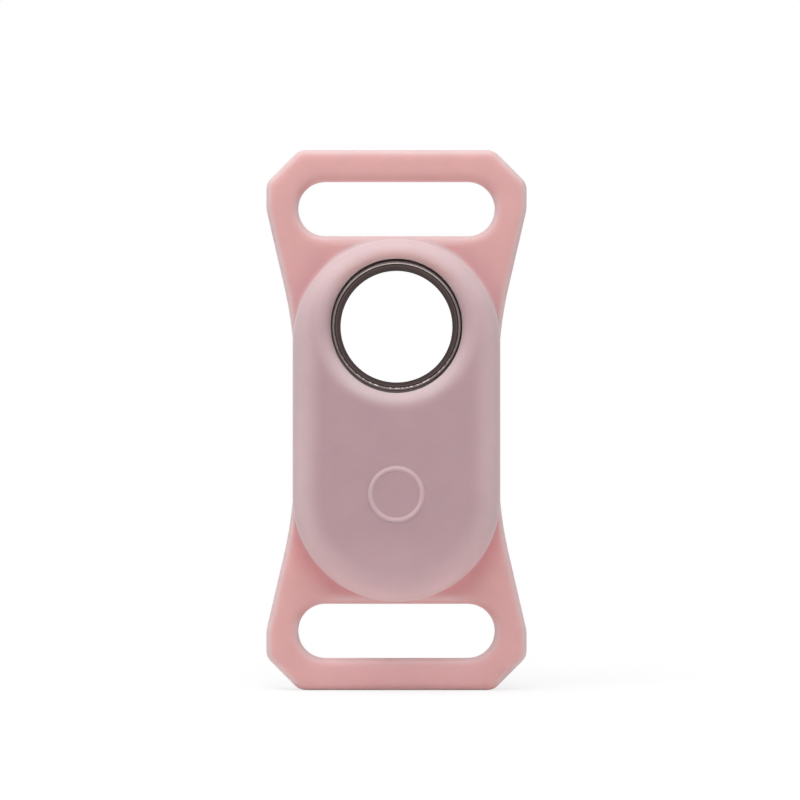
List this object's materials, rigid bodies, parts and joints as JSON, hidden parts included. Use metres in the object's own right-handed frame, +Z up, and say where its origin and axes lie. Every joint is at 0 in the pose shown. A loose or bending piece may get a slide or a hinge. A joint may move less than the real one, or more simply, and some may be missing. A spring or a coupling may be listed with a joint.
{
  "type": "tracker tag holder",
  "caption": "Silicone strap sleeve with a slot at each end, holding an oval tracker tag whose metal ring shows through a round window above a raised press button.",
  "frame": {"origin": "middle of the sleeve's back plane, where it lies on the strap", "axes": "+Z up along the length, ring at the top; front faces -Y; +X to the viewer's right"},
  "size_m": [0.0402, 0.0115, 0.083],
  "materials": {
    "silicone": "matte silicone, slightly translucent",
    "tag_plastic": "fine satin",
    "tray_plastic": "satin",
    "gunmetal": "dark turned metal",
    "seal_rubber": "matte",
    "board_laminate": "solder mask",
    "tinned_steel": "tinned",
    "ceramic": "fired ceramic",
    "switch_plastic": "moulded",
    "cell_steel": "drawn steel",
    "contact_brass": "sheet brass"
  },
  "bodies": {
    "sleeve": {"silicone_sleeve": "silicone", "rear_lip": "silicone"},
    "membrane": {"button_membrane": "silicone"},
    "tag": {"front_shell": "tag_plastic", "rear_shell": "tag_plastic", "battery_tray": "tray_plastic", "coin_cell_gasket": "tray_plastic", "ring_loop": "gunmetal", "shell_seal": "seal_rubber", "ring_front_seal": "seal_rubber", "ring_rear_seal": "seal_rubber", "tray_seal": "seal_rubber", "circuit_board": "board_laminate", "radio_shield": "tinned_steel", "ranging_shield": "tinned_steel", "crystal": "tinned_steel", "switch_dome": "tinned_steel", "board_capacitors": "ceramic", "antenna_patches": "ceramic", "buzzer_ceramic": "ceramic", "switch_base": "switch_plastic", "coin_cell_can": "cell_steel", "coin_cell_cap": "cell_steel", "positive_contact": "contact_brass", "negative_contact": "contact_brass", "buzzer_plate": "contact_brass", "buzzer_lead": "contact_brass", "buzzer_pins": "contact_brass"},
    "key": {"key_cap": "tag_plastic", "key_seal": "seal_rubber"}
  },
  "joints": [
    {"name": "tag_removal", "type": "slide", "parent": "sleeve", "child": "tag", "axis": [0, 1, 0], "range_m": [0, 0.018], "deforming": ["rear_lip"]},
    {"name": "membrane_press", "type": "slide", "parent": "sleeve", "child": "membrane", "axis": [0, 1, 0], "range_m": [0, 0.00025], "stiffness_N_per_m": 4000},
    {"name": "key_press", "type": "slide", "parent": "tag", "child": "key", "axis": [0, 1, 0], "range_m": [0, 0.00025], "deforming": ["switch_dome"]}
  ],
  "couplings": [
    {"joint": "key_press", "follows": "membrane_press", "ratio": 1}
  ]
}
